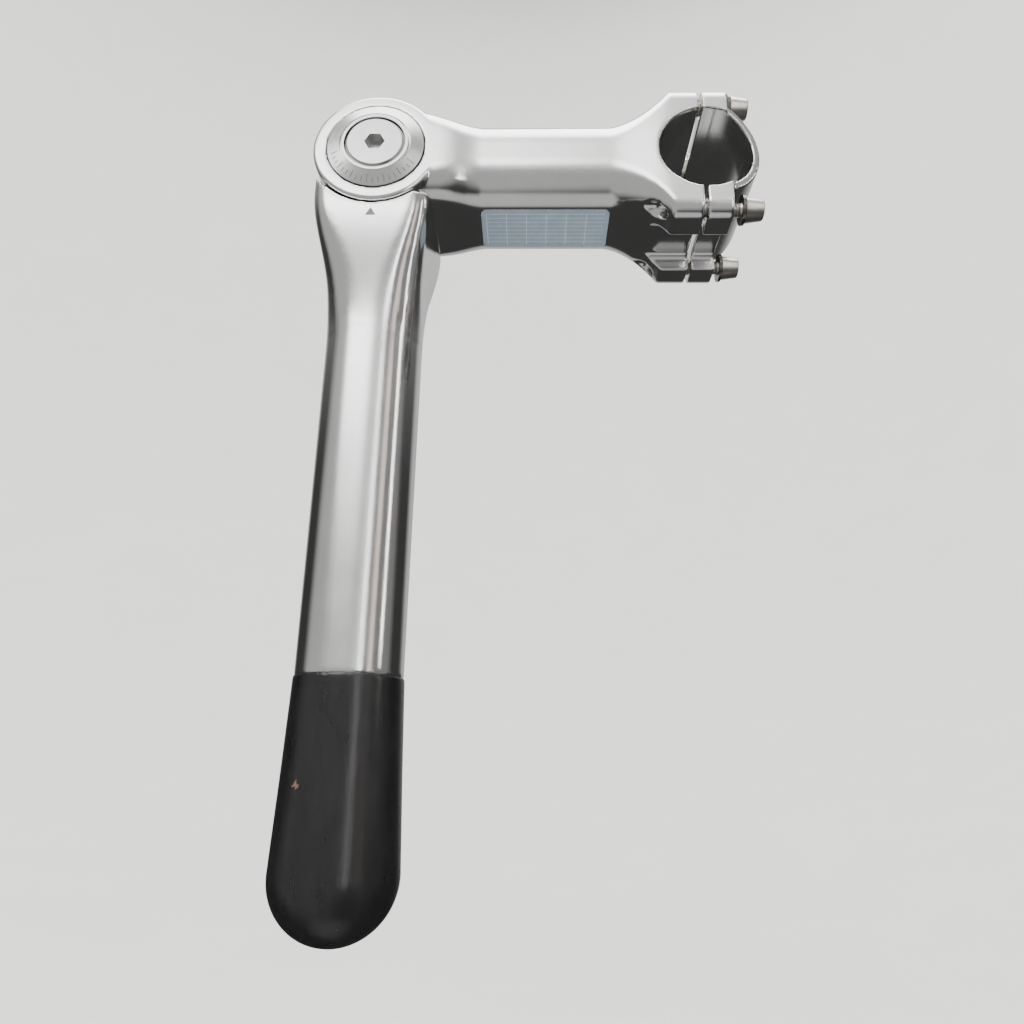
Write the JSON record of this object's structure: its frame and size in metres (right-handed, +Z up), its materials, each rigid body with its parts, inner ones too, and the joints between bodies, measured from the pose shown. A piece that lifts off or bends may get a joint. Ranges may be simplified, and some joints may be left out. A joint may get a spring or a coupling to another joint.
{
  "type": "handlebar stem",
  "caption": "Quill handlebar stem with a toothed angle pivot, a split bar clamp, a wedge expander and a protective cap over the insert.",
  "frame": {"origin": "on the quill's axis, at the shoulder where the tube steps down to the insert", "axes": "+X forward along the extension, +Y to the rider's left, +Z up the quill"},
  "size_m": [0.1501, 0.0484, 0.2693],
  "materials": {
    "quill_alloy": "satin, brushed along the tube",
    "extension_alloy": "satin sides with polished corners",
    "faceplate_alloy": "satin sides with polished corners",
    "wedge_alloy": "plain turned",
    "disc_alloy": "turned, satin",
    "pivot_steel": "satin",
    "expander_steel": "zinc plated",
    "washer_steel": "plain steel",
    "tooth_steel": "hardened, oiled",
    "bolt_stainless": "turned stainless",
    "cap_rubber": "dipped vinyl, satin black",
    "label_film": "blank film label"
  },
  "bodies": {
    "quill": {"quill_tube": "quill_alloy", "expander_washer": "washer_steel", "tongue_tooth_ring_right": "tooth_steel", "tongue_tooth_ring_left": "tooth_steel"},
    "expander_bolt": {"expander_bolt": "expander_steel"},
    "wedge": {"wedge_nut": "wedge_alloy"},
    "cap": {"protective_cap": "cap_rubber"},
    "extension": {"extension_body": "extension_alloy", "ear_tooth_ring_right": "tooth_steel", "ear_tooth_ring_left": "tooth_steel", "angle_disc_right": "disc_alloy", "cover_disc_left": "disc_alloy", "pivot_barrel_nut": "pivot_steel", "underside_label": "label_film"},
    "pivot_washer": {"pivot_washer": "washer_steel"},
    "pivot_bolt": {"pivot_bolt": "pivot_steel"},
    "faceplate": {"faceplate": "faceplate_alloy"},
    "clamp_washer_upper_right": {"clamp_washer_upper_right": "washer_steel"},
    "clamp_bolt_upper_right": {"clamp_bolt_upper_right": "bolt_stainless"},
    "clamp_washer_lower_right": {"clamp_washer_lower_right": "washer_steel"},
    "clamp_bolt_lower_right": {"clamp_bolt_lower_right": "bolt_stainless"},
    "clamp_washer_lower_left": {"clamp_washer_lower_left": "washer_steel"},
    "clamp_bolt_lower_left": {"clamp_bolt_lower_left": "bolt_stainless"},
    "clamp_washer_upper_left": {"clamp_washer_upper_left": "washer_steel"},
    "clamp_bolt_upper_left": {"clamp_bolt_upper_left": "bolt_stainless"}
  },
  "joints": [
    {"name": "stem_angle", "type": "hinge", "parent": "quill", "child": "extension", "pos_m": [0, 0, 0.178], "axis": [0, -1, 0], "range_deg": [0, 60]},
    {"name": "expander_bolt_turn", "type": "hinge", "parent": "quill", "child": "expander_bolt", "pos_m": [0, 0, 0.1395], "axis": [0, 0, -1], "range_deg": [-580, 508]},
    {"name": "wedge_slide", "type": "slide", "parent": "quill", "child": "wedge", "axis": [0, 0, 1], "range_m": [-0.002, 0.00175]},
    {"name": "cap_pull", "type": "slide", "parent": "quill", "child": "cap", "axis": [0, 0, -1], "range_m": [0, 0.1]},
    {"name": "pivot_washer_slide", "type": "slide", "parent": "extension", "child": "pivot_washer", "axis": [0, -1, 0], "range_m": [0, 0.0125]},
    {"name": "pivot_bolt_turn", "type": "hinge", "parent": "pivot_washer", "child": "pivot_bolt", "pos_m": [0, -0.022, 0.178], "axis": [0, -1, 0], "range_deg": [-1, 3601]},
    {"name": "faceplate_slide", "type": "slide", "parent": "extension", "child": "faceplate", "axis": [1, 0, 0], "range_m": [-0.0009, 0.012]},
    {"name": "clamp_washer_upper_right_slide", "type": "slide", "parent": "faceplate", "child": "clamp_washer_upper_right", "axis": [1, 0, 0], "range_m": [-0.0007, 0.008]},
    {"name": "clamp_bolt_upper_right_turn", "type": "hinge", "parent": "clamp_washer_upper_right", "child": "clamp_bolt_upper_right", "pos_m": [0.1198, -0.016, 0.1983], "axis": [1, 0, 0], "range_deg": [-316, 3601]},
    {"name": "clamp_washer_lower_right_slide", "type": "slide", "parent": "faceplate", "child": "clamp_washer_lower_right", "axis": [1, 0, 0], "range_m": [-0.0031, 0.008]},
    {"name": "clamp_bolt_lower_right_turn", "type": "hinge", "parent": "clamp_washer_lower_right", "child": "clamp_bolt_lower_right", "pos_m": [0.1222, -0.016, 0.1568], "axis": [1, 0, 0], "range_deg": [-1396, 3601]},
    {"name": "clamp_washer_lower_left_slide", "type": "slide", "parent": "faceplate", "child": "clamp_washer_lower_left", "axis": [1, 0, 0], "range_m": [-0.0025, 0.008]},
    {"name": "clamp_bolt_lower_left_turn", "type": "hinge", "parent": "clamp_washer_lower_left", "child": "clamp_bolt_lower_left", "pos_m": [0.1216, 0.016, 0.1568], "axis": [1, 0, 0], "range_deg": [-1126, 3601]},
    {"name": "clamp_washer_upper_left_slide", "type": "slide", "parent": "faceplate", "child": "clamp_washer_upper_left", "axis": [1, 0, 0], "range_m": [-0.0015, 0.008]},
    {"name": "clamp_bolt_upper_left_turn", "type": "hinge", "parent": "clamp_washer_upper_left", "child": "clamp_bolt_upper_left", "pos_m": [0.1206, 0.016, 0.1983], "axis": [1, 0, 0], "range_deg": [-676, 3601]}
  ],
  "couplings": [
    {"joint": "expander_bolt_turn", "follows": "wedge_slide", "rad_per_m": 5026.5},
    {"joint": "pivot_bolt_turn", "follows": "pivot_washer_slide", "rad_per_m": 5026.5},
    {"joint": "clamp_bolt_upper_right_turn", "follows": "clamp_washer_upper_right_slide", "rad_per_m": 7854},
    {"joint": "clamp_bolt_lower_right_turn", "follows": "clamp_washer_lower_right_slide", "rad_per_m": 7854},
    {"joint": "clamp_bolt_lower_left_turn", "follows": "clamp_washer_lower_left_slide", "rad_per_m": 7854},
    {"joint": "clamp_bolt_upper_left_turn", "follows": "clamp_washer_upper_left_slide", "rad_per_m": 7854}
  ]
}
